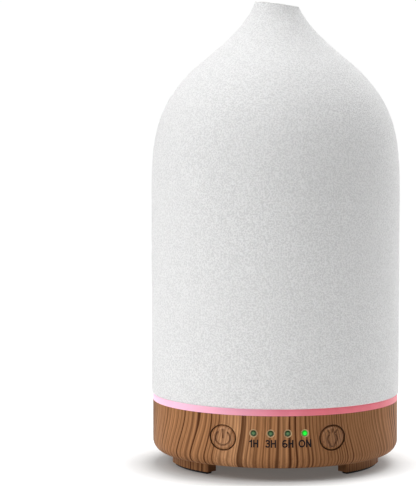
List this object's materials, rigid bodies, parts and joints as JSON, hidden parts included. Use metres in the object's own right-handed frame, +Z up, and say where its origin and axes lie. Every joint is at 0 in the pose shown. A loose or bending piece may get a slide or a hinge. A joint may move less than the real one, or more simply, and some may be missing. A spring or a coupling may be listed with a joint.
{
  "type": "essential oil diffuser",
  "caption": "Ultrasonic essential oil diffuser: bottle-shaped ceramic cover over a water tank, on a wood-look base with a ring of light and two buttons.",
  "frame": {"origin": "on the table, under the middle of the cover", "axes": "+Z up; the front with the buttons faces -Y; +X to the right"},
  "size_m": [0.1, 0.1, 0.186],
  "materials": {
    "ceramic": "matte, sand-textured",
    "wood_print": "moulded plastic with a wood-grain print",
    "foot_rubber": "matte",
    "light_guide": "translucent, frosted, lit from inside in pink",
    "tank_plastic": "satin",
    "guide_plastic": "satin",
    "silicone": "soft, satin",
    "gasket_rubber": "matte",
    "steel": "fine brushed",
    "screw_steel": "nickel-plated",
    "piezo_ceramic": "matte",
    "retainer_plastic": "satin",
    "black_plastic": "satin",
    "bronze": "sintered",
    "copper_coil": "enamelled copper wire",
    "circuit_board": "solder mask, semi-gloss",
    "led_board_white": "white solder mask",
    "capacitor_sleeve": "glossy sleeve",
    "chip_epoxy": "matte epoxy",
    "heatsink_aluminium": "extruded",
    "connector_nylon": "satin nylon",
    "led_lamp": "phosphor-coated lamp",
    "lens_off": "dark green lens, unlit",
    "lens_on": "green lens, lit",
    "wire_red": "insulated wire",
    "wire_yellow": "insulated wire"
  },
  "bodies": {
    "base": {"base_shell": "wood_print", "bottom_cover": "wood_print", "foot_pad_right": "foot_rubber", "foot_pad_left": "foot_rubber", "foot_pad_rear": "foot_rubber", "light_ring": "light_guide", "tank": "tank_plastic", "air_tube": "tank_plastic", "case_screws": "screw_steel", "atomiser_disc": "steel", "piezo_element": "piezo_ceramic", "disc_gasket": "gasket_rubber", "disc_retainer": "retainer_plastic", "retainer_screws": "screw_steel", "duct_cap": "guide_plastic", "air_duct": "tank_plastic", "fan_frame": "black_plastic", "fan_bearing": "bronze", "fan_stator": "copper_coil", "fan_screws": "screw_steel", "main_board": "circuit_board", "board_screws": "screw_steel", "filter_capacitor": "capacitor_sleeve", "drive_inductor": "copper_coil", "power_transistor": "chip_epoxy", "heatsink": "heatsink_aluminium", "controller_chip": "chip_epoxy", "board_connectors": "connector_nylon", "led_board": "led_board_white", "light_leds": "led_lamp", "led_board_screws": "screw_steel", "button_board": "circuit_board", "power_switch": "black_plastic", "light_switch": "black_plastic", "lens_holder": "black_plastic", "indicator_lens_1h": "lens_off", "indicator_lens_3h": "lens_off", "indicator_lens_6h": "lens_off", "indicator_lens_on": "lens_on", "indicator_leds": "led_lamp", "dc_jack": "black_plastic", "dc_jack_pin": "screw_steel", "disc_leads": "wire_red", "fan_leads": "wire_red", "jack_leads": "wire_red", "led_board_leads": "wire_yellow", "button_leads": "wire_yellow"},
    "fan_rotor": {"fan_impeller": "black_plastic", "fan_shaft": "steel"},
    "power_key": {"power_button": "wood_print", "power_switch_plunger": "black_plastic"},
    "light_key": {"light_button": "wood_print", "light_switch_plunger": "black_plastic"},
    "guide": {"mist_guide": "guide_plastic", "guide_seal": "silicone"},
    "cover_ring": {"cushion_ring": "silicone"},
    "cover": {"ceramic_cover": "ceramic"}
  },
  "joints": [
    {"name": "mist_guide_lift", "type": "slide", "parent": "base", "child": "guide", "axis": [0, 0, 1], "range_m": [0, 0.12]},
    {"name": "cover_lift", "type": "slide", "parent": "guide", "child": "cover_ring", "axis": [0, 0, 1], "range_m": [0, 0.17]},
    {"name": "cover_turn", "type": "hinge", "parent": "cover_ring", "child": "cover", "pos_m": [0, 0, 0.03], "axis": [0, 0, 1], "continuous": true},
    {"name": "fan_spin", "type": "hinge", "parent": "base", "child": "fan_rotor", "pos_m": [-0.0216, -0.0054, 0.011], "axis": [0, 0, 1], "continuous": true},
    {"name": "power_button_press", "type": "slide", "parent": "base", "child": "power_key", "axis": [0, 1, 0], "range_m": [0, 0.0006], "stiffness_N_per_m": 1500, "springref_m": -0.0006},
    {"name": "light_button_press", "type": "slide", "parent": "base", "child": "light_key", "axis": [0, 1, 0], "range_m": [0, 0.0006], "stiffness_N_per_m": 1500, "springref_m": -0.0006}
  ]
}
